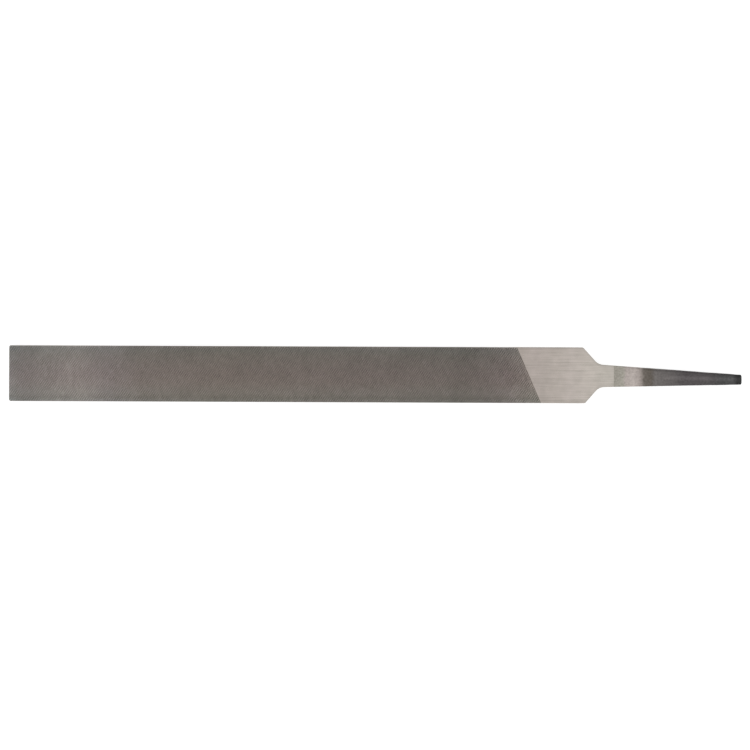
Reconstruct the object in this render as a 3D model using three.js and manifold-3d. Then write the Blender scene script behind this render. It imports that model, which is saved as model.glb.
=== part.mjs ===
// A flat file with a bare tang, 250 mm from its point to its shoulders. A file is a single
// forging: the cut blade, the ground heel and the tang for the handle are one piece of steel, so
// the model is one solid. It is the common part of two prisms, the outline seen from above and
// the profile seen from the side.
//
// Millimetres, +Z up. The file lies flat on z = 0 with its length along X: the point is at -X and
// the tang at +X. The origin is under the middle of the whole length, on the blade's centre line.
// A station is a distance along the file from its point.
import * as THREE from "three";
import { mergeVertices } from "three/addons/utils/BufferGeometryUtils.js";
import Module from "manifold-3d";

// Driving dimensions.
const OVERALL_LENGTH = 314.5;
const WIDTH = 24; // the same all the way from the point to the shoulders
const THICKNESS = 5.5;

const POINT_THICKNESS = 4.6; // at the point, after the faces have curved in
const BELLY_STATION = 85; // where both faces leave the flat and start to curve towards the point
const POINT_CORNER_RADIUS = 0.8;

const UPPER_SHOULDER_STATION = 246.3; // the corner on the +Y edge
const LOWER_SHOULDER_STATION = 247.2; // the corner on the -Y edge, which is ground a little further
const UPPER_SHOULDER_ANGLE = 48; // degrees from the blade's centre line
const LOWER_SHOULDER_ANGLE = 49;
const SHOULDER_CORNER_RADIUS = 1.2;
const TANG_FILLET_RADIUS = 5;

// The tang leans: its -Y edge runs nearly straight and its +Y edge takes most of the taper.
const TANG_ROOT_STATION = 256;
const TANG_ROOT_UPPER = 4.5; // from the centre line to the +Y edge
const TANG_ROOT_LOWER = -5;
const TANG_END_UPPER = 0.5;
const TANG_END_LOWER = -3.7;
const TANG_END_CORNER_RADIUS = 0.5;
const TANG_END_THICKNESS = 2.5;
const NECK_STATION = 259.5; // up to here the tang is ground with the heel, at full thickness

const ARC_STEPS = 6; // a quarter of the facets that a full turn would have
const PRISM_MARGIN = 2; // how far each prism runs past the other, so that no faces coincide

const MID_HEIGHT = THICKNESS / 2;

function xOf(station) {
  return station - OVERALL_LENGTH / 2;
}

// A closed outline from its corners [x, y, radius], anticlockwise, each rounded by a tangent arc.
function roundedShape(corners) {
  const shape = new THREE.Shape();
  corners.forEach(([x, y, radius], i) => {
    const corner = new THREE.Vector2(x, y);
    const [beforeX, beforeY] = corners[(i + corners.length - 1) % corners.length];
    const [afterX, afterY] = corners[(i + 1) % corners.length];
    const back = new THREE.Vector2(beforeX, beforeY).sub(corner).normalize();
    const ahead = new THREE.Vector2(afterX, afterY).sub(corner).normalize();
    const halfAngle = Math.acos(back.dot(ahead)) / 2;
    const tangent = radius / Math.tan(halfAngle);
    const centre = back.clone().add(ahead).normalize();
    centre.multiplyScalar(radius / Math.sin(halfAngle)).add(corner);
    const start = back.clone().multiplyScalar(tangent).add(corner).sub(centre);
    const end = ahead.clone().multiplyScalar(tangent).add(corner).sub(centre);
    const turnsInward = back.cross(ahead) > 0;
    shape.absarc(centre.x, centre.y, radius, start.angle(), end.angle(), turnsInward);
  });
  shape.closePath();
  return shape;
}

// Where a shoulder's slope meets the line of the tang's edge on the same side.
function shoulderFoot(shoulderStation, angle, rootY, endY) {
  const side = Math.sign(rootY);
  const slope = -side * Math.tan(THREE.MathUtils.degToRad(angle));
  const taper = (endY - rootY) / (OVERALL_LENGTH - TANG_ROOT_STATION);
  const rise = rootY - (side * WIDTH) / 2 + taper * (shoulderStation - TANG_ROOT_STATION);
  const run = rise / (slope - taper);
  return [xOf(shoulderStation + run), (side * WIDTH) / 2 + slope * run, TANG_FILLET_RADIUS];
}

// The outline from above: point, parallel edges, sloping shoulders and tapered tang.
function outline() {
  const lowerFoot = shoulderFoot(
    LOWER_SHOULDER_STATION,
    LOWER_SHOULDER_ANGLE,
    TANG_ROOT_LOWER,
    TANG_END_LOWER,
  );
  const upperFoot = shoulderFoot(
    UPPER_SHOULDER_STATION,
    UPPER_SHOULDER_ANGLE,
    TANG_ROOT_UPPER,
    TANG_END_UPPER,
  );
  return roundedShape([
    [xOf(0), -WIDTH / 2, POINT_CORNER_RADIUS],
    [xOf(LOWER_SHOULDER_STATION), -WIDTH / 2, SHOULDER_CORNER_RADIUS],
    lowerFoot,
    [xOf(OVERALL_LENGTH), TANG_END_LOWER, TANG_END_CORNER_RADIUS],
    [xOf(OVERALL_LENGTH), TANG_END_UPPER, TANG_END_CORNER_RADIUS],
    upperFoot,
    [xOf(UPPER_SHOULDER_STATION), WIDTH / 2, SHOULDER_CORNER_RADIUS],
    [xOf(0), WIDTH / 2, POINT_CORNER_RADIUS],
  ]);
}

// One face in side view, drawn from the point to the tang's end or back again. side is 1 for the
// upper face and -1 for the lower one, and shape coordinates are x and height.
function facePoints(side) {
  const full = MID_HEIGHT + side * MID_HEIGHT;
  const atPoint = MID_HEIGHT + (side * POINT_THICKNESS) / 2;
  const atTangEnd = MID_HEIGHT + (side * TANG_END_THICKNESS) / 2;
  const belly = new THREE.QuadraticBezierCurve(
    new THREE.Vector2(xOf(0), atPoint),
    new THREE.Vector2(xOf(BELLY_STATION / 2), full),
    new THREE.Vector2(xOf(BELLY_STATION), full),
  );
  const points = belly.getPoints(2 * ARC_STEPS);
  points.unshift(new THREE.Vector2(xOf(-PRISM_MARGIN), atPoint));
  points.push(new THREE.Vector2(xOf(NECK_STATION), full));
  points.push(new THREE.Vector2(xOf(OVERALL_LENGTH), atTangEnd));
  points.push(new THREE.Vector2(xOf(OVERALL_LENGTH + PRISM_MARGIN), atTangEnd));
  return points;
}

function sideProfile() {
  return new THREE.Shape([...facePoints(-1), ...facePoints(1).reverse()]);
}

function extruded(shape, depth) {
  return new THREE.ExtrudeGeometry(shape, {
    depth,
    bevelEnabled: false,
    curveSegments: ARC_STEPS,
  });
}

const wasm = await Module();
wasm.setup();

function toSolid(geometry) {
  const bare = geometry.clone();
  bare.deleteAttribute("normal");
  bare.deleteAttribute("uv");
  const merged = mergeVertices(bare);
  return new wasm.Manifold(
    new wasm.Mesh({
      numProp: 3,
      vertProperties: merged.attributes.position.array,
      triVerts: new Uint32Array(merged.index.array),
    }),
  );
}

function toGeometry(solid) {
  const { vertProperties, triVerts } = solid.getMesh();
  const geometry = new THREE.BufferGeometry();
  geometry.setAttribute("position", new THREE.BufferAttribute(vertProperties, 3));
  geometry.setIndex(new THREE.BufferAttribute(triVerts, 1));
  geometry.computeVertexNormals();
  return geometry;
}

function fileGeometry() {
  const seenFromAbove = extruded(outline(), THICKNESS + 2 * PRISM_MARGIN);
  seenFromAbove.translate(0, 0, -PRISM_MARGIN);
  const seenFromSide = extruded(sideProfile(), WIDTH + 2 * PRISM_MARGIN);
  seenFromSide.rotateX(Math.PI / 2);
  seenFromSide.translate(0, WIDTH / 2 + PRISM_MARGIN, 0);
  return toGeometry(toSolid(seenFromAbove).intersect(toSolid(seenFromSide)));
}

const fileSteel = new THREE.MeshStandardMaterial({
  color: 0x8a837c,
  roughness: 0.45,
  metalness: 0.9,
  flatShading: true,
});

const file = new THREE.Mesh(fileGeometry(), fileSteel);
file.name = "file";

const group = new THREE.Group();
group.add(file);

export default group;
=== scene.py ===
"""A flat hand file with a bare tang, lying on a pale floor under soft studio light.

One closed mesh stands for the CAD node. It is lofted through cross-sections from the point to the
end of the tang, and the teeth are then cut into it: double-cut on both faces, single-cut on one
edge, and none on the other edge, which is the safe one.

The mesh is made in millimetres. Its x is the station, the distance from the file's point, and its z
starts at the middle of the thickness. It is moved to the frame, in metres, at the end.
"""

import math

import bpy
import numpy as np
from mathutils import Matrix, Vector, noise


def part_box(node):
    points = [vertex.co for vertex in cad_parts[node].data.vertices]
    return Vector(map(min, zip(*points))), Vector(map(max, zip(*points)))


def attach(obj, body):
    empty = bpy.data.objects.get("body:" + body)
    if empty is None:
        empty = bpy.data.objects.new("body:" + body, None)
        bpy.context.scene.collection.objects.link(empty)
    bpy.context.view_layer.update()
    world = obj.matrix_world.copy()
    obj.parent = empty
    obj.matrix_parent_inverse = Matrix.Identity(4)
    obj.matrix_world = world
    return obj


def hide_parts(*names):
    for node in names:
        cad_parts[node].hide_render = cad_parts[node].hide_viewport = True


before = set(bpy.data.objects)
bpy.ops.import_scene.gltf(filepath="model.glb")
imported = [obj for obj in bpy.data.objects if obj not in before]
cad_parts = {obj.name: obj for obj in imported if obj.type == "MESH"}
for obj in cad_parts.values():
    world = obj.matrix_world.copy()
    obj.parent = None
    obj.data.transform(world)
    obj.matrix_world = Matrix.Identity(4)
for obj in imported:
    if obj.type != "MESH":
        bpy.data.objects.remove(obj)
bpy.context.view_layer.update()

FILE_LOW, FILE_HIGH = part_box("file")

MM = 0.001
LENGTH, WIDTH, THICKNESS = ((FILE_HIGH - FILE_LOW) / MM)[:]
MID_HEIGHT = THICKNESS / 2

# The forging, with the same dimensions as the CAD solid.
POINT_THICKNESS = 4.6
BELLY_STATION = 85  # where both faces start to curve in towards the point
POINT_CORNER_RADIUS = 0.8
UPPER_SHOULDER_STATION, UPPER_SHOULDER_ANGLE = 246.3, 48
LOWER_SHOULDER_STATION, LOWER_SHOULDER_ANGLE = 247.2, 49
SHOULDER_CORNER_RADIUS = 1.2
TANG_FILLET_RADIUS = 5
TANG_ROOT_STATION = 256
TANG_ROOT_UPPER, TANG_END_UPPER = 4.5, 0.5
TANG_ROOT_LOWER, TANG_END_LOWER = -5, -3.7
TANG_END_CORNER_RADIUS = 0.5
TANG_END_THICKNESS = 2.5
NECK_STATION = 259.5  # ground up to here, left as forged after it

# How far the long edges and the two ends are rounded over.
EDGE_STATIONS = (0, 215, 230, 256, 262, 276, LENGTH)
TOOTHED_EDGE_RADII = (0.12, 0.12, 0.28, 0.35, 0.5, 1.3, 0.7)
SAFE_EDGE_RADII = (0.2, 0.2, 0.28, 0.35, 0.4, 0.45, 0.4)
MOST_ROUNDED = 0.8  # the most that a rounding may take of half the section's height
POINT_END_RADIUS = 0.25
TANG_END_RADIUS = 0.45

# The forged tang is crowned and uneven.
TANG_CROWN = 0.3  # how much its faces fall from the middle to the edges
TANG_CROWN_STATION = 270  # where the crown is full; it starts at the neck
WAVES = ((0.07, 1), (0.025, 3.1))  # (height, how much finer than the scale)
WAVE_SCALE = (0.22, 0.35, 0.35)  # waves per millimetre, along the file and across it
WAVE_FADE = 4  # the length after the neck over which the waves come in

# How finely the forging is divided.
CORNER_STEPS, FACE_STEPS, SIDE_STEPS = 4, 10, 4  # of a cross-section
OUTLINE_ARC_STEPS = 10
POINT_END_STEPS, TANG_END_STEPS = 4, 5
BELLY_SPACING, FLAT_SPACING, TANG_SPACING = 2, 4, 0.8  # from one cross-section to the next
LEAST_SPACING = 0.03
SUPPORT = 0.15  # a vertex this far past each rounding keeps it from shading the flat beside it

# The teeth. Rows of the up-cut lean one way across the face and the over-cut grooves the other.
CUT_END_STATION = 222.9  # where the last row crosses the centre line
UPCUT_ANGLE = math.radians(66.5)  # between a row and the file's length
OVERCUT_ANGLE = math.radians(50)
UPCUT_PITCH = 0.7
OVERCUT_PITCH = 0.82
TOOTH_DEPTH = 0.26
CREST_DROP = 0.02  # the tooth tips stay at least this much below the heel's plane
CREST_SPREAD = 0.02  # how much lower than that a tip may be
CREST_AT = 0.22  # where the tip lies in the pitch, from the foot of the steep side
GROOVE_HALF = 0.27  # half the over-cut groove, as a share of its pitch
SHALLOW_LENGTH = 6  # the last rows before the heel are shallower
SHALLOW_SHARE = 0.9  # the depth of the last row, against the others
SHALLOW_CURVE = 0.7  # under 1, so that the depth is lost mostly in the last few rows
RUN_OUT_ANGLE = math.radians(50)  # of the last furrow's side towards the heel
RUN_OUT_HEIGHT = 0.3  # how far above the heel's plane the cutter ends
PITCH_JITTER = 0.03
DEPTH_JITTER = 0.08
TEETH_SEED = 7
CUTTER_MARGIN = 2.5  # how far the cutters reach past the file
CUTTER_OVERLAP = 1.5  # teeth are made up to this far outside the long edges

EDGE_PITCH = 0.75
EDGE_DEPTH = 0.22
EDGE_ROW_LEAN = math.radians(15)
EDGE_CUT_END = 216  # no row crosses the middle of the edge past this station

GROUND, TEETH, TANG = range(3)  # the mesh's material slots
SHARP_ANGLE = math.radians(28)
UPPER_CHART, LOWER_CHART, TOOTHED_CHART, SAFE_CHART, POINT_CHART, TANG_END_CHART = range(6)
CHART_GAP = 1.5  # millimetres between the charts of the baked maps
FACING_END = 0.9  # faces are on an end's chart where X makes up more than this of the normal

# Looks. Colours are 0 to 255 sRGB. In this studio a flat face seen from above shows about its own
# colour, or one a little lighter. Tints and tones multiply a linear colour. Sizes and depths are in
# millimetres.
NOISE_SPAN = (0.3, 0.7)  # most of a noise's values lie between these

# The teeth's colours hold painted light: the rise around station 30 is a painted highlight, and the
# slow drift along the blade is painted light and shade.
TEETH_COLOURS_WITH_PAINTED_LIGHT = (  # (station, colour of the teeth seen from above)
    (0, (119, 115, 112)), (6, (118, 112, 109)), (15, (123, 117, 113)), (30, (128, 121, 117)),
    (42, (121, 114, 111)), (56, (114, 107, 102)), (90, (112, 105, 99)), (150, (111, 104, 99)),
    (195, (107, 101, 96)), (214, (115, 107, 103)), (228, (120, 113, 107)),
)
# These tints paint light and shade across the blade: darker towards the +Y edge as painted shade,
# and near the safe edge a painted highlight at 20.4 and 23.1 on either side of a painted shadow
# line at 22.1.
TEETH_TINTS_AND_PAINTED_LIGHT = (  # (distance from the +Y edge, tint)
    (0, (0.89, 0.95, 0.96)), (1.5, (0.88, 0.95, 0.96)), (4, (0.91, 0.95, 0.95)),
    (8, (0.95, 0.96, 0.97)), (12, (0.98, 0.97, 0.99)), (16, (1.02, 1.02, 1.03)),
    (20.4, (1.04, 1.09, 1.09)), (22.1, (0.92, 0.98, 0.97)), (23.1, (0.98, 1.06, 1.07)),
    (WIDTH, (0.98, 1.06, 1.07)),
)
TEETH_GAIN = 2.28  # makes up for the light that is lost between the teeth
TEETH_MOTTLE = 0.04  # how far the gain wanders up and down
TOOTH_WEAR_OIL_AND_PAINTED_SHADE = ((0.0, 1.45), (0.2, 1.0), (1.0, 0.48))  # (share of the depth, tone), tip to valley: tips lighter as worn bright steel, valleys darker partly from oil and partly as painted shade
TEETH_ROUGHNESS = (0.4, 0.52)
CHATTER_SIZE, CHATTER_DEPTH = 0.12, 0.006  # of the fine marks left on the teeth

GROUND_COLOURS = ((159, 154, 146), (194, 186, 179))  # between and along the grinding lines
# From station 0 to 204 the safe edge and the point take the steel's own darker colour; the rise
# from 217 to 248 is painted light, the heel lighter towards the shoulders.
GROUND_TINTS_AND_PAINTED_LIGHT = (  # (station, tint)
    (0, (0.7, 0.7, 0.7)), (204, (0.7, 0.7, 0.7)), (217, (0.82, 0.79, 0.79)),
    (226, (0.84, 0.81, 0.82)), (235, (0.89, 0.87, 0.87)), (241, (0.95, 0.93, 0.94)),
    (248, (1.0, 0.99, 0.99)), (256, (0.98, 0.99, 0.98)), (NECK_STATION, (0.95, 0.96, 0.95)),
)
GROUND_ROUGHNESS = (0.24, 0.4)
PAINTED_GROUND_SIDE_SHADE = 0.82  # painted shade on the sides, against the faces
CORNER_TONE = 1.08  # of the corners, which are rubbed bright
PAINTED_RIM_SHADE = 0.93  # painted shade on the faces close to their long edges
LINE_SIZE, LINE_DEPTH = 0.3, 0.012
LINE_STRETCHES = ((60, 1, 1), (1, 60, 1))  # of the lines: along the file, across its point's end
LINE_SHARE = 0.65  # how much of the colour's variation is in the lines; the rest is mottle
BLAST_SIZE, BLAST_DEPTH = 0.16, 0.003

TANG_COLOURS = (  # (station, colour): the heat's bands, then scale
    (NECK_STATION, (150, 146, 137)), (263.4, (158, 154, 145)), (264.6, (170, 161, 156)),
    (268, (177, 168, 163)), (270.6, (160, 151, 146)), (272.6, (105, 99, 93)),
    (275.6, (97, 91, 85)), (277.4, (109, 105, 103)), (284, (102, 98, 97)),
    (290, (87, 83, 84)), (299, (90, 86, 87)), (306, (77, 77, 77)), (310.8, (81, 81, 81)),
    (312.4, (56, 56, 56)), (LENGTH, (56, 56, 56)),
)
TANG_ROUGHNESS = (0.32, 0.54)
# painted shade on the tang's sides, against its faces
PAINTED_TANG_SIDE_SHADE = 0.8
BAND_WANDER = 0.6  # millimetres that a band's edge strays to either side
SCALE_TONES = (0.82, 1.16)
SCALE_SIZE, SCALE_DEPTH = 0.5, 0.035
HAMMER_SIZE, HAMMER_DEPTH = 2.5, 0.06
PIT_TONE = 0.62
PIT_SPAN = (0.26, 0.4)  # the noise from the middle of a pit to its rim
PAINTED_STREAK_TONES = (1.18, 0.88)  # painted highlight along the tang's middle, and painted shade off it
PAINTED_STREAK_STATIONS = (274, 290)  # where this begins and where it is full

# The studio and the camera.
SKY_LIGHT = (  # (height, from 0 at the horizon to 1 overhead, and radiance)
    (0.0, 1.25), (0.09, 1.2), (0.18, 0.6), (0.4, 0.7), (0.7, 0.9), (0.85, 1.1), (1.0, 1.15),
)
SKY_STRENGTH = 2.0  # more than any radiance above, because a ramp's colours stay under 1
SKY_LEAN = 0.15  # how much dimmer the light from +Y is than from straight above
SOFTBOXES = (  # (place, width and height, radiance), in metres, aimed at the file
    ((-1.0, -1.1, 0.55), (0.9, 0.5), 2.2),
    ((1.25, -0.5, 0.5), (0.7, 0.4), 1.6),
    ((-0.95, 1.0, 0.62), (1.0, 0.5), 1.0),
)
FLOOR_HALF = 4.0  # metres
FLOOR_ALBEDO = 0.45
FLOOR_GLOW = 0.74
FLOOR_ROUGHNESS = 0.9
FLOOR_SHINE = 0.1
CAMERA_LENS = 200
CAMERA_X, CAMERA_Y = -0.22, -0.22  # millimetres
CAMERA_TURN = math.radians(0.235)
VIEW_WIDTH = 321.74  # millimetres seen from side to side, at the height of the file's upper face


def half_thickness(station):
    """Half the file's height at a station: full in the middle, less at the point and tang."""
    belly = np.clip((BELLY_STATION - station) / BELLY_STATION, 0, None) ** 2
    taper = np.clip((station - NECK_STATION) / (LENGTH - NECK_STATION), 0, 1)
    point_drop = (THICKNESS - POINT_THICKNESS) / 2
    tang_drop = (THICKNESS - TANG_END_THICKNESS) / 2
    return THICKNESS / 2 - point_drop * belly - tang_drop * taper


def between(low, high, share):
    """The value that lies this share of the way from low to high."""
    return low * (1 - share) + high * share


def rounded_line(corners):
    """The points of a line through corners (x, y, radius), each rounded by a tangent arc."""
    points = []
    for before, corner, after in zip(corners, corners[1:], corners[2:]):
        at, radius = np.array(corner[:2]), corner[2]
        back, ahead = np.array(before[:2]) - at, np.array(after[:2]) - at
        back, ahead = back / np.linalg.norm(back), ahead / np.linalg.norm(ahead)
        half_angle = math.acos(back @ ahead) / 2
        inward = (back + ahead) / np.linalg.norm(back + ahead)
        centre = at + inward * radius / math.sin(half_angle)
        start = at + back * radius / math.tan(half_angle) - centre
        end = at + ahead * radius / math.tan(half_angle) - centre
        for share in np.linspace(0, 1, OUTLINE_ARC_STEPS + 1):
            arm = between(start, end, share)
            points.append(centre + arm * radius / np.linalg.norm(arm))
    return np.array(points)


def long_edge(side, shoulder, angle, root, end):
    """One long edge seen from above. side is 1 for +Y and -1 for -Y."""
    slope = -side * math.tan(math.radians(angle))
    taper = (end - root) / (LENGTH - TANG_ROOT_STATION)
    edge = side * WIDTH / 2
    run = (root - edge + taper * (shoulder - TANG_ROOT_STATION)) / (slope - taper)
    return rounded_line([
        (0, 0, 0),
        (0, edge, POINT_CORNER_RADIUS),
        (shoulder, edge, SHOULDER_CORNER_RADIUS),
        (shoulder + run, edge + slope * run, TANG_FILLET_RADIUS),
        (LENGTH, end, TANG_END_CORNER_RADIUS),
        (LENGTH, (TANG_END_UPPER + TANG_END_LOWER) / 2, 0),
    ])


UPPER_EDGE = long_edge(
    1, UPPER_SHOULDER_STATION, UPPER_SHOULDER_ANGLE, TANG_ROOT_UPPER, TANG_END_UPPER
)
LOWER_EDGE = long_edge(
    -1, LOWER_SHOULDER_STATION, LOWER_SHOULDER_ANGLE, TANG_ROOT_LOWER, TANG_END_LOWER
)


def end_inset(station):
    """How far the cross-section draws in where the two ends are rounded over."""
    inset = 0.0
    for distance, radius in ((station, POINT_END_RADIUS), (LENGTH - station, TANG_END_RADIUS)):
        short = max(radius - distance, 0)
        inset += radius - math.sqrt(radius**2 - short**2)
    return inset


def rounding_stations(radius, steps):
    """How far from an end its rounding is cut, in equal angles."""
    return radius * (1 - np.cos(np.linspace(0, math.pi / 2, steps + 1)))


def body_stations():
    """Where the cross-sections lie: close together on curves, apart on straight stretches."""
    wanted = np.concatenate([
        UPPER_EDGE[:, 0],
        LOWER_EDGE[:, 0],
        rounding_stations(POINT_END_RADIUS, POINT_END_STEPS),
        LENGTH - rounding_stations(TANG_END_RADIUS, TANG_END_STEPS),
        np.arange(BELLY_SPACING, BELLY_STATION, BELLY_SPACING),
        np.arange(BELLY_STATION, LOWER_SHOULDER_STATION, FLAT_SPACING),
        np.arange(NECK_STATION, LENGTH, TANG_SPACING),
    ])
    kept = [0.0]
    for station in np.unique(wanted):
        if station - kept[-1] > LEAST_SPACING and LENGTH - station > LEAST_SPACING:
            kept.append(station)
    return np.array([*kept, LENGTH])


def corner_arc(y, z, radius, turn):
    """A quarter turn round the cross-section's corner at (y, z), anticlockwise."""
    middle = (turn + 0.5) * math.pi / 2
    centre = np.array([
        y - math.copysign(radius, math.cos(middle)),
        z - math.copysign(radius, math.sin(middle)),
    ])
    angles = (turn + np.linspace(0, 1, CORNER_STEPS + 1)) * math.pi / 2
    return centre + radius * np.column_stack([np.cos(angles), np.sin(angles)])


def flat_side(start, end, steps):
    """The points between two roundings, without the ends: one close to each, the rest even."""
    length = np.linalg.norm(end - start)
    support = min(SUPPORT / length, 0.5 / steps)
    shares = [support, *np.linspace(0, 1, steps + 1)[1:-1], 1 - support]
    return [between(start, end, share) for share in shares]


def cross_section(station, extra_inset=0.0):
    """The closed outline (y, z) of the file at a station: a rectangle with rounded corners."""
    inset = end_inset(station) + extra_inset
    top = half_thickness(station) - inset
    upper = np.interp(station, *UPPER_EDGE.T) - inset
    lower = np.interp(station, *LOWER_EDGE.T) + inset
    most = MOST_ROUNDED * top
    toothed = min(np.interp(station, EDGE_STATIONS, TOOTHED_EDGE_RADII), most)
    safe = min(np.interp(station, EDGE_STATIONS, SAFE_EDGE_RADII), most)
    arcs = [
        corner_arc(upper, top, toothed, 0),
        corner_arc(lower, top, safe, 1),
        corner_arc(lower, -top, safe, 2),
        corner_arc(upper, -top, toothed, 3),
    ]
    points = []
    for arc, following, steps in zip(arcs, arcs[1:] + arcs[:1], (FACE_STEPS, SIDE_STEPS) * 2):
        points += [*arc, *flat_side(arc[-1], following[0], steps)]
    points = np.array(points)
    crown = np.interp(station, (NECK_STATION, TANG_CROWN_STATION), (0, TANG_CROWN))
    off_axis = (points[:, 0] - (upper + lower) / 2) / ((upper - lower) / 2)
    points[:, 1] *= 1 - crown / top * off_axis**2
    return points


def forged_wave(point, station):
    """The slight unevenness of a forged surface, in millimetres."""
    at = Vector((station, *point)) * Vector(WAVE_SCALE)
    return sum(height * noise.noise(at * fineness) for height, fineness in WAVES)


def ring_at(station, extra_inset=0.0):
    """The cross-section's vertices at a station, uneven where the tang is left as forged."""
    ring = cross_section(station, extra_inset)
    fade = np.clip((station - NECK_STATION) / WAVE_FADE, 0, 1)
    if fade > 0:
        outward = ring - ring.mean(0)
        outward /= np.linalg.norm(outward, axis=1)[:, None]
        ring = ring + outward * np.array([[fade * forged_wave(p, station)] for p in ring])
    return np.column_stack([np.full(len(ring), station), ring])


def lofted_body():
    """The file without its teeth, as a mesh of vertices, faces and material indices."""
    stations = body_stations()
    rings = [ring_at(0.0, SUPPORT), *map(ring_at, stations), ring_at(LENGTH, SUPPORT)]
    count = len(rings[0])
    around = np.arange(count)
    following = (around + 1) % count
    faces = [tuple(reversed(range(count)))]
    slots = [GROUND]
    for k, ring in enumerate(rings[1:]):
        low, high = k * count, (k + 1) * count
        quads = [around + low, following + low, following + high, around + high]
        faces += list(map(tuple, np.column_stack(quads)))
        forged = ring[0, 0] > NECK_STATION + LEAST_SPACING / 2
        slots += [TANG if forged else GROUND] * count
    last = (len(rings) - 1) * count
    faces.append(tuple(range(last, last + count)))
    slots.append(TANG)
    return np.concatenate(rings), faces, slots


def new_object(name, vertices, faces, slots=None):
    """A mesh object from arrays. slots gives each face's material index."""
    mesh = bpy.data.meshes.new(name)
    mesh.from_pydata(np.asarray(vertices).tolist(), [], [tuple(map(int, f)) for f in faces])
    if slots is not None:
        mesh.polygons.foreach_set("material_index", np.asarray(slots, dtype=np.int32))
    made = bpy.data.objects.new(name, mesh)
    bpy.context.scene.collection.objects.link(made)
    return made


def closed_upwards(vertices, faces, top):
    """Closes a downward-facing sheet of triangles into a solid with a flat top."""
    count = len(vertices)
    lid = vertices.copy()
    lid[:, 2] = top
    edges = np.concatenate([faces[:, [0, 1]], faces[:, [1, 2]], faces[:, [2, 0]]])
    keys = edges[:, 0] * count + edges[:, 1]
    opposite = edges[:, 1] * count + edges[:, 0]
    rim = edges[~np.isin(keys, opposite)]
    low_side = np.column_stack([rim[:, 1], rim[:, 0], rim[:, 0] + count])
    high_side = np.column_stack([rim[:, 1], rim[:, 0] + count, rim[:, 1] + count])
    solid = np.concatenate([faces, faces[:, ::-1] + count, low_side, high_side])
    return np.concatenate([vertices, lid]), solid


# Unit vectors across the rows (towards the tang) and across the grooves (towards +Y).
ACROSS_ROWS = np.array([math.sin(UPCUT_ANGLE), math.cos(UPCUT_ANGLE)])
ACROSS_GROOVES = np.array([-math.sin(OVERCUT_ANGLE), math.cos(OVERCUT_ANGLE)])
FROM_ACROSS = np.linalg.inv(np.array([ACROSS_ROWS, ACROSS_GROOVES]))


def plan_position(across_rows, across_grooves):
    """(station, y) of points given by their distances across the rows and the grooves."""
    return np.column_stack([across_rows, across_grooves]) @ FROM_ACROSS.T


def chisel_cuts(rng):
    """Where the rows' valleys and the over-cut grooves lie, as distances across them."""
    side = WIDTH / 2 + CUTTER_MARGIN
    last = CUT_END_STATION * ACROSS_ROWS[0]
    first = np.array([-CUTTER_MARGIN, -side]) @ ACROSS_ROWS
    rows = int((last - first) / UPCUT_PITCH)
    row_at = last - UPCUT_PITCH * np.arange(rows, -1, -1)
    row_at[:-1] += UPCUT_PITCH * PITCH_JITTER * rng.standard_normal(rows)
    lowest = np.array([CUT_END_STATION + side, -side]) @ ACROSS_GROOVES
    highest = np.array([-CUTTER_MARGIN, side]) @ ACROSS_GROOVES
    grooves = int((highest - lowest) / OVERCUT_PITCH) + 1
    groove_at = lowest + OVERCUT_PITCH * np.arange(grooves + 1)
    groove_at += OVERCUT_PITCH * PITCH_JITTER * rng.standard_normal(grooves + 1)
    return row_at, groove_at


def tooth_points(row_at, groove_at, rng):
    """The vertices of the cut surface, as (station, y, z).

    First come the valleys' crossings, row by row, then the ends of the teeth's ridges, first all
    the near ones and then all the far ones, and last a line past the last row, where the surface
    runs out through the heel's plane.
    """
    shallow = np.clip((row_at[-1] - row_at) / SHALLOW_LENGTH, 0, 1) ** SHALLOW_CURVE
    depth = TOOTH_DEPTH * between(SHALLOW_SHARE, 1, shallow)
    i, j = np.indices((len(row_at), len(groove_at)))
    valleys = plan_position(row_at[i].ravel(), groove_at[j].ravel())
    valley_z = -(depth[i] * (1 + DEPTH_JITTER * rng.standard_normal(i.shape))).ravel()

    i, j = i[:-1, :-1].ravel(), j[:-1, :-1].ravel()
    crest_at = between(row_at[i], row_at[i + 1], CREST_AT)
    near_ends = plan_position(crest_at, between(groove_at[j], groove_at[j + 1], GROOVE_HALF))
    far_ends = plan_position(crest_at, between(groove_at[j], groove_at[j + 1], 1 - GROOVE_HALF))
    crest_z = -CREST_DROP - CREST_SPREAD * rng.random(2 * len(i))

    run_out_at = row_at[-1] + (RUN_OUT_HEIGHT + depth[-1]) / math.tan(RUN_OUT_ANGLE)
    run_out = plan_position(np.full(len(groove_at), run_out_at), groove_at)
    run_out_z = np.full(len(groove_at), RUN_OUT_HEIGHT)

    plan = np.concatenate([valleys, near_ends, far_ends, run_out])
    height = np.concatenate([valley_z, crest_z, run_out_z])
    return np.column_stack([plan, half_thickness(plan[:, 0]) + height])


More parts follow.
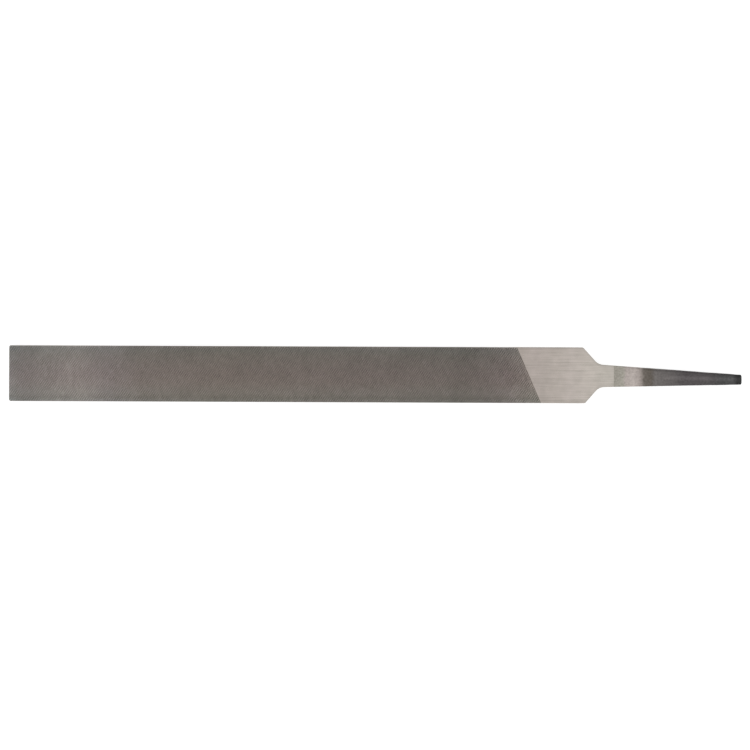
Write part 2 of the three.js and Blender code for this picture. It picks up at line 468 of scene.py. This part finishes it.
def tooth_faces(vertices, rows, grooves):
    """The triangles of the cut surface, wherever a tooth lies over the file.

    Each tooth is a hipped ridge e-f on one cell a-b-c-d of the valleys: steep towards the point,
    gently sloped towards the tang and cut off by a groove at each end.
    """
    i, j = (index.ravel() for index in np.indices((rows, grooves)))
    a = i * (grooves + 1) + j
    b, d = a + 1, a + grooves + 1
    c = d + 1
    valleys = (rows + 1) * (grooves + 1)
    e = valleys + i * grooves + j
    f = e + len(i)
    middle_y = (vertices[a, 1] + vertices[c, 1]) / 2
    inside = np.abs(middle_y) < WIDTH / 2 + CUTTER_OVERLAP
    teeth = [(e, d, a), (f, c, e), (c, d, e), (f, b, c), (e, a, f), (a, b, f)]
    faces = [np.column_stack(corners)[inside] for corners in teeth]

    # The strip between the last row and the line past it.
    last_inside = inside[i == rows - 1]
    on_row = rows * (grooves + 1) + np.arange(grooves)
    past_it = valleys + 2 * len(i) + np.arange(grooves)
    faces.append(np.column_stack([past_it, on_row, on_row + 1])[last_inside])
    faces.append(np.column_stack([past_it, on_row + 1, past_it + 1])[last_inside])
    return np.concatenate(faces)


def face_cutter(rng):
    """What the chisel takes out of the upper face, a solid above the surface of the teeth."""
    row_at, groove_at = chisel_cuts(rng)
    vertices = tooth_points(row_at, groove_at, rng)
    faces = tooth_faces(vertices, len(row_at) - 1, len(groove_at) - 1)
    used, faces = np.unique(faces, return_inverse=True)
    return closed_upwards(vertices[used], faces.reshape(-1, 3), MID_HEIGHT + CUTTER_MARGIN)


def edge_cutter():
    """What is taken out of the +Y edge: straight rows that lean a little, steep side first."""
    valleys = np.arange(-CUTTER_MARGIN, EDGE_CUT_END, EDGE_PITCH)
    crests = valleys[:-1] + CREST_AT * EDGE_PITCH
    along = np.empty(2 * len(valleys))
    along[0::2], along[1:-1:2], along[-1] = valleys, crests, valleys[-1] + 2 * EDGE_DEPTH
    out = np.full(len(along), WIDTH / 2 - CREST_DROP)
    out[0::2] = WIDTH / 2 - EDGE_DEPTH
    out[-1] = WIDTH / 2 + EDGE_DEPTH
    half = MID_HEIGHT + CUTTER_MARGIN
    lean = half * math.tan(EDGE_ROW_LEAN)
    upper = np.column_stack([along + lean, np.full(len(along), -half), out])
    lower = np.column_stack([along - lean, np.full(len(along), half), out])
    a = np.arange(len(along) - 1)
    b = a + len(along)
    faces = np.concatenate([np.column_stack([a, b, b + 1]), np.column_stack([a, b + 1, a + 1])])
    sheet = np.concatenate([upper, lower])
    vertices, faces = closed_upwards(sheet, faces, WIDTH / 2 + CUTTER_MARGIN)
    return vertices[:, [0, 2, 1]] * (1, 1, -1), faces


def cut_away(body, cutters):
    """Subtracts the cutters' solids from the body's mesh and removes them."""
    for cutter in cutters:
        modifier = body.modifiers.new(cutter.name, "BOOLEAN")
        modifier.operation = "DIFFERENCE"
        modifier.solver = "MANIFOLD"
        modifier.object = cutter
    evaluated = body.evaluated_get(bpy.context.evaluated_depsgraph_get())
    mesh = bpy.data.meshes.new_from_object(evaluated)
    body.modifiers.clear()
    body.data = mesh
    for cutter in cutters:
        bpy.data.objects.remove(cutter)


def get_array(items, name, width=1, kind=np.float64):
    """One attribute of every item of a mesh collection, as an array."""
    values = np.empty(len(items) * width, dtype=kind)
    items.foreach_get(name, values)
    return values.reshape(-1, width) if width > 1 else values


def store_measures(mesh):
    """Stores, in millimetres, what the materials need to know about a place on the surface."""
    station, y, z = get_array(mesh.vertices, "co", 3).T
    from_face = half_thickness(station) - np.abs(z)
    from_upper = np.interp(station, *UPPER_EDGE.T) - y
    from_lower = y - np.interp(station, *LOWER_EDGE.T)
    from_edge = np.minimum(from_upper, from_lower)
    measures = {
        "station": station,
        "tooth_depth": np.minimum(from_face, from_upper),
        "from_face": from_face,
        "from_upper": from_upper,
        "from_edge": from_edge,
        "from_corner": np.maximum(from_edge, from_face),
        "from_axis": np.abs(from_lower - from_upper) / 2,
    }
    for name, values in measures.items():
        attribute = mesh.attributes.new(name, "FLOAT", "POINT")
        attribute.data.foreach_set("value", np.clip(values, 0, None))


def shade(mesh):
    """Smooth shading on the forging, with its corners sharp, and flat shading on the teeth."""
    mesh.shade_smooth()
    mesh.set_sharp_from_angle(angle=SHARP_ANGLE)
    slots = get_array(mesh.polygons, "material_index", kind=np.int32)
    mesh.polygons.foreach_set("use_smooth", slots != TEETH)


def chart_of(mesh):
    """Which chart of the baked maps each face belongs to."""
    normal = get_array(mesh.polygons, "normal", 3)
    station, y, z = get_array(mesh.polygons, "center", 3).T
    teeth = get_array(mesh.polygons, "material_index", kind=np.int32) == TEETH
    from_face = half_thickness(station) - np.abs(z)
    faces_sideways = np.abs(normal[:, 1]) > np.abs(normal[:, 2])
    on_side = np.where(teeth, WIDTH / 2 - y < from_face, faces_sideways)
    side_chart = np.where(y > 0, TOOTHED_CHART, SAFE_CHART)
    face_chart = np.where(z > 0, UPPER_CHART, LOWER_CHART)
    end_chart = np.where(station < LENGTH / 2, POINT_CHART, TANG_END_CHART)
    on_end = ~teeth & (np.abs(normal[:, 0]) > FACING_END)
    return np.where(on_end, end_chart, np.where(on_side, side_chart, face_chart))


def lay_out_maps(mesh):
    """Gives the mesh flat charts for baked maps, each long one folded in two at mid length."""
    fold = LENGTH / 2
    chart = chart_of(mesh)
    second = get_array(mesh.polygons, "center", 3)[:, 0] > fold
    sizes = get_array(mesh.polygons, "loop_total", kind=np.int32)
    chart, second = np.repeat(chart, sizes), np.repeat(second, sizes)
    corners = get_array(mesh.loops, "vertex_index", kind=np.int32)
    station, y, z = get_array(mesh.vertices, "co", 3)[corners].T
    across = np.where(chart <= LOWER_CHART, y, z)
    along = np.where(chart <= SAFE_CHART, station - second * fold, y + WIDTH)
    along = np.where(chart == TANG_END_CHART, along + 2 * WIDTH, along)
    base = CHART_GAP
    bottom = np.zeros(len(chart))
    for k, height in enumerate((WIDTH, WIDTH, THICKNESS, THICKNESS)):
        for half in (False, True):
            bottom[(chart == k) & (second == half)] = base + height / 2
            base += height + CHART_GAP
    bottom[chart >= POINT_CHART] = base + THICKNESS / 2
    uv = np.column_stack([along + CHART_GAP, across + bottom]) / (fold + 2 * CHART_GAP)
    mesh.uv_layers.new(name="OFBake").data.foreach_set("uv", uv.ravel())


def flat_file(materials):
    """The whole file as one closed mesh, in the frame and in metres."""
    vertices, faces, slots = lofted_body()
    made = new_object("flat_file", vertices, faces, slots)
    for material in materials:
        made.data.materials.append(material)
    rng = np.random.default_rng(TEETH_SEED)
    cutters = []
    for name, turned in (("upper_teeth", 1), ("lower_teeth", -1)):
        vertices, faces = face_cutter(rng)
        vertices = vertices * (1, turned, turned)
        cutters.append(new_object(name, vertices, faces, [TEETH] * len(faces)))
    vertices, faces = edge_cutter()
    cutters.append(new_object("edge_teeth", vertices, faces, [TEETH] * len(faces)))
    cut_away(made, cutters)
    mesh = made.data
    shade(mesh)
    store_measures(mesh)
    lay_out_maps(mesh)
    to_frame = Matrix.Translation((FILE_LOW.x, 0, MID_HEIGHT * MM)) @ Matrix.Scale(MM, 4)
    mesh.transform(to_frame)
    return made


class Nodes:
    """A node tree whose nodes are made and linked in short calls."""

    def __init__(self, tree):
        self.tree = tree

    def add(self, kind, inputs=None, **settings):
        """A new node. inputs holds a value or another node's output for each socket."""
        node = self.tree.nodes.new("ShaderNode" + kind)
        for key, value in settings.items():
            setattr(node, key, value)
        for socket, value in (inputs or {}).items():
            self.feed(node.inputs[socket], value)
        return node

    def feed(self, socket, value):
        """Links a socket to another node's output, or sets its value."""
        if isinstance(value, bpy.types.NodeSocket):
            self.tree.links.new(value, socket)
        else:
            socket.default_value = value

    def math(self, operation, *values):
        """A number worked out from others."""
        return self.add("Math", dict(enumerate(values)), operation=operation).outputs[0]

    def product(self, first, *others):
        """Several numbers multiplied."""
        for other in others:
            first = self.math("MULTIPLY", first, other)
        return first

    def mix(self, first, second, share):
        """The number that lies this share of the way from first to second."""
        return self.math("MULTIPLY_ADD", self.math("SUBTRACT", second, first), share, first)

    def measure(self, name):
        """A number stored on the mesh, in millimetres."""
        return self.add("Attribute", attribute_name=name).outputs["Fac"]

    def remap(self, value, low, high, to_low=0.0, to_high=1.0, smooth=True):
        """value from low..high to to_low..to_high, held at both ends."""
        node = self.add("MapRange", {0: value, 1: low, 2: high, 3: to_low, 4: to_high})
        if smooth:
            node.interpolation_type = "SMOOTHSTEP"
        return node.outputs[0]

    def spread(self, value, to_low, to_high):
        """A noise's values spread over to_low..to_high."""
        return self.remap(value, *NOISE_SPAN, to_low, to_high)

    def noise(self, size, stretch=(1, 1, 1), detail=3.0, roughness=0.55, offset=0.0):
        """Noise from 0 to 1 whose spots are about size millimetres across, times stretch.

        Noises with the same size are alike unless their offsets differ.
        """
        place = self.add("TexCoord").outputs["Object"]
        scale = [1 / (MM * size * s) for s in stretch]
        mapped = self.add("Mapping", {"Vector": place, "Scale": scale, "Location": [offset] * 3})
        settings = {"Scale": 1.0, "Detail": detail, "Roughness": roughness}
        return self.add("TexNoise", {"Vector": mapped.outputs[0], **settings}).outputs[0]

    def ramp(self, factor, stops):
        """A colour ramp over (position, linear colour) stops."""
        node = self.add("ValToRGB", {"Fac": factor})
        elements = node.color_ramp.elements
        while len(elements) < len(stops):
            elements.new(0.5)
        for element, (position, colour) in zip(elements, stops):
            element.position = position
            element.color = (*colour, 1)
        return node.outputs["Color"]

    def along(self, value, stops):
        """A linear colour that follows value through (value, colour) stops. It may pass 1."""
        first, last = stops[0][0], stops[-1][0]
        most = max(max(colour) for _, colour in stops)
        position = self.remap(value, first, last, smooth=False)
        within_one = [
            ((at - first) / (last - first), [c / most for c in colour]) for at, colour in stops
        ]
        return self.scaled(self.ramp(position, within_one), most)

    def times(self, colour, other):
        """A colour times another colour."""
        return self.add("VectorMath", {0: colour, 1: other}, operation="MULTIPLY").outputs[0]

    def scaled(self, colour, factor):
        """A colour times a number."""
        node = self.add("VectorMath", {0: colour, "Scale": factor}, operation="SCALE")
        return node.outputs[0]

    def bump(self, height, depth, normal=None):
        """A normal from a height between 0 and 1, where 1 stands for depth in millimetres."""
        inputs = {"Height": height, "Distance": depth * MM, "Strength": 1.0}
        if normal is not None:
            inputs["Normal"] = normal
        return self.add("Bump", inputs).outputs[0]


def linear(colour):
    """A linear colour from a 0 to 255 sRGB one."""
    return [((c / 255 + 0.055) / 1.055) ** 2.4 for c in colour]


def linear_stops(stops):
    """(value, linear colour) stops from (value, 0 to 255 sRGB colour) ones."""
    return [(at, linear(colour)) for at, colour in stops]


def steel(name, colour, roughness, normal_of):
    """A metal material. Each argument after the name is a function of the material's Nodes."""
    material = bpy.data.materials.new(name)
    material.use_nodes = True
    nodes = Nodes(material.node_tree)
    shader = material.node_tree.nodes["Principled BSDF"]
    shader.inputs["Metallic"].default_value = 1.0
    nodes.feed(shader.inputs["Base Color"], colour(nodes))
    nodes.feed(shader.inputs["Roughness"], roughness(nodes))
    nodes.feed(shader.inputs["Normal"], normal_of(nodes))
    return material


def ground_steel():
    """The ground and blasted steel of the heel, the neck, the safe edge and the point."""

    def lines(nodes):
        """Grinding lines along the file, and across it on the point's end."""
        along, across = (nodes.noise(LINE_SIZE, stretch, offset=5) for stretch in LINE_STRETCHES)
        on_end = nodes.remap(nodes.measure("station"), 0.1, POINT_END_RADIUS, 1.0, 0.0)
        return nodes.mix(along, across, on_end)

    def colour(nodes):
        mottle = nodes.noise(5, detail=4)
        lined = nodes.mix(mottle, lines(nodes), LINE_SHARE)
        base = nodes.ramp(lined, linear_stops(zip(NOISE_SPAN, GROUND_COLOURS)))
        # The station tints paint light along the heel, lighter towards the shoulders.
        tint_and_painted_light = nodes.along(nodes.measure("station"), GROUND_TINTS_AND_PAINTED_LIGHT)
        # side is painted shade: the sides darker than the faces.
        side = nodes.remap(nodes.measure("from_face"), 0.2, 0.8, 1.0, PAINTED_GROUND_SIDE_SHADE)
        # rim is painted shade: the faces darker close to their long edges.
        rim = nodes.remap(nodes.measure("from_edge"), 0.4, 1.8, PAINTED_RIM_SHADE, 1.0)
        corner = nodes.remap(nodes.measure("from_corner"), 0.0, 0.4, CORNER_TONE, 1.0)
        return nodes.scaled(nodes.times(base, tint_and_painted_light), nodes.product(side, rim, corner))

    def roughness(nodes):
        patches = nodes.noise(2.5, detail=5, offset=7)
        return nodes.spread(nodes.mix(patches, lines(nodes), 0.5), *GROUND_ROUGHNESS)

    def normal_of(nodes):
        blasted = nodes.noise(BLAST_SIZE, detail=2, offset=9)
        return nodes.bump(lines(nodes), LINE_DEPTH, nodes.bump(blasted, BLAST_DEPTH))

    return steel("ground_steel", colour, roughness, normal_of)


def cut_teeth():
    """The teeth: bright at the worn tips, darker in the valleys from oil and painted shade, with
    painted light along and across the blade.
    """

    def colour(nodes):
        # The colours along the blade and the tints across it paint light and shade; the depth tone
        # darkens the valleys partly as painted shade.
        base = nodes.along(nodes.measure("station"), linear_stops(TEETH_COLOURS_WITH_PAINTED_LIGHT))
        depth = nodes.math("DIVIDE", nodes.measure("tooth_depth"), TOOTH_DEPTH)
        tone = nodes.along(depth, [(at, [tone] * 3) for at, tone in TOOTH_WEAR_OIL_AND_PAINTED_SHADE])
        tint_and_painted_light = nodes.along(nodes.measure("from_upper"), TEETH_TINTS_AND_PAINTED_LIGHT)
        gains = ((1 - TEETH_MOTTLE) * TEETH_GAIN, (1 + TEETH_MOTTLE) * TEETH_GAIN)
        gain = nodes.spread(nodes.noise(9, detail=4), *gains)
        return nodes.scaled(nodes.times(nodes.times(base, tone), tint_and_painted_light), gain)

    def roughness(nodes):
        return nodes.spread(nodes.noise(1.5, detail=4, offset=7), *TEETH_ROUGHNESS)

    def normal_of(nodes):
        return nodes.bump(nodes.noise(CHATTER_SIZE, detail=2, offset=9), CHATTER_DEPTH)

    return steel("cut_teeth", colour, roughness, normal_of)


def forged_tang():
    """The tang as forged and tempered: bands of heat colour, then dark scale to the end."""

    def wandering_station(nodes):
        strays = (-BAND_WANDER, BAND_WANDER)
        stray = nodes.remap(nodes.noise(2.2, detail=4), 0.2, 0.8, *strays, smooth=False)
        return nodes.math("ADD", nodes.measure("station"), stray)

    def painted_streak(nodes):
        """The tone of the streak along the middle, a painted highlight with painted shade off it,
        which comes in along the tang.
        """
        tone = nodes.remap(nodes.measure("from_axis"), 0.2, 1.3, *PAINTED_STREAK_TONES)
        return nodes.mix(1.0, tone, nodes.remap(nodes.measure("station"), *PAINTED_STREAK_STATIONS))

    def colour(nodes):
        base = nodes.along(wandering_station(nodes), linear_stops(TANG_COLOURS))
        scale = nodes.spread(nodes.noise(0.8, detail=7, roughness=0.7, offset=4), *SCALE_TONES)
        pitted = nodes.noise(0.6, detail=7, roughness=0.68, offset=12)
        pits = nodes.remap(pitted, *PIT_SPAN, PIT_TONE, 1.0)
        # side is painted shade: the tang's sides darker than its faces.
        side = nodes.remap(nodes.measure("from_face"), 0.3, 1.4, 1.0, PAINTED_TANG_SIDE_SHADE)
        # The streak paints a highlight along the tang's middle and shade off it.
        return nodes.scaled(base, nodes.product(scale, painted_streak(nodes), pits, side))

    def roughness(nodes):
        return nodes.spread(nodes.noise(0.8, detail=6, offset=7), *TANG_ROUGHNESS)

    def normal_of(nodes):
        hammered = nodes.noise(HAMMER_SIZE, detail=2, offset=9)
        scaly = nodes.noise(SCALE_SIZE, detail=6, roughness=0.65, offset=12)
        return nodes.bump(scaly, SCALE_DEPTH, nodes.bump(hammered, HAMMER_DEPTH))

    return steel("forged_tang", colour, roughness, normal_of)


def floor():
    """A pale floor that glows a little, so that it is evenly white under the file."""
    half = FLOOR_HALF
    corners = [(-half, -half, 0), (half, -half, 0), (half, half, 0), (-half, half, 0)]
    made = new_object("floor", corners, [(0, 1, 2, 3)])
    material = bpy.data.materials.new("pale_floor")
    material.use_nodes = True
    shader = material.node_tree.nodes["Principled BSDF"]
    shader.inputs["Base Color"].default_value = (FLOOR_ALBEDO, FLOOR_ALBEDO, FLOOR_ALBEDO, 1)
    shader.inputs["Roughness"].default_value = FLOOR_ROUGHNESS
    shader.inputs["Specular IOR Level"].default_value = FLOOR_SHINE
    shader.inputs["Emission Color"].default_value = (1, 1, 1, 1)
    shader.inputs["Emission Strength"].default_value = FLOOR_GLOW
    made.data.materials.append(material)


def softbox(place, size, radiance):
    """A rectangular light that faces the file, equally bright at any size."""
    light = bpy.data.lights.new("softbox", "AREA")
    light.shape = "RECTANGLE"
    light.size, light.size_y = size
    light.energy = radiance * math.pi * size[0] * size[1]
    made = bpy.data.objects.new("softbox", light)
    bpy.context.scene.collection.objects.link(made)
    made.location = place
    made.rotation_euler = Vector(place).to_track_quat("Z", "Y").to_euler()


def studio():
    """Soft light from all round, least from just above the horizon, and softboxes at the sides."""
    for box in SOFTBOXES:
        softbox(*box)
    world = bpy.data.worlds.new("studio")
    bpy.context.scene.world = world
    world.use_nodes = True
    nodes = Nodes(world.node_tree)
    direction = nodes.add("TexCoord").outputs["Generated"]
    parts = nodes.add("SeparateXYZ", {0: direction}).outputs
    greys = [(height, [radiance / SKY_STRENGTH] * 3) for height, radiance in SKY_LIGHT]
    sky = nodes.ramp(parts["Z"], greys)
    leaning = nodes.math("MULTIPLY_ADD", parts["Y"], -SKY_LEAN, 1.0)
    background = world.node_tree.nodes["Background"]
    nodes.feed(background.inputs["Color"], nodes.scaled(sky, leaning))
    background.inputs["Strength"].default_value = SKY_STRENGTH
    bpy.context.scene.view_settings.view_transform = "Standard"


def camera():
    """Straight above the file, far away, turned a little so that the tang hangs lower."""
    data = bpy.data.cameras.new("camera")
    data.lens = CAMERA_LENS
    made = bpy.data.objects.new("camera", data)
    bpy.context.scene.collection.objects.link(made)
    distance = VIEW_WIDTH * MM * data.lens / data.sensor_width
    made.location = (CAMERA_X * MM, CAMERA_Y * MM, FILE_HIGH.z + distance)
    made.rotation_euler = (0, 0, CAMERA_TURN)
    bpy.context.scene.camera = made


camera()
studio()
floor()
body = flat_file([ground_steel(), cut_teeth(), forged_tang()])
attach(body, "root")
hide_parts("file")
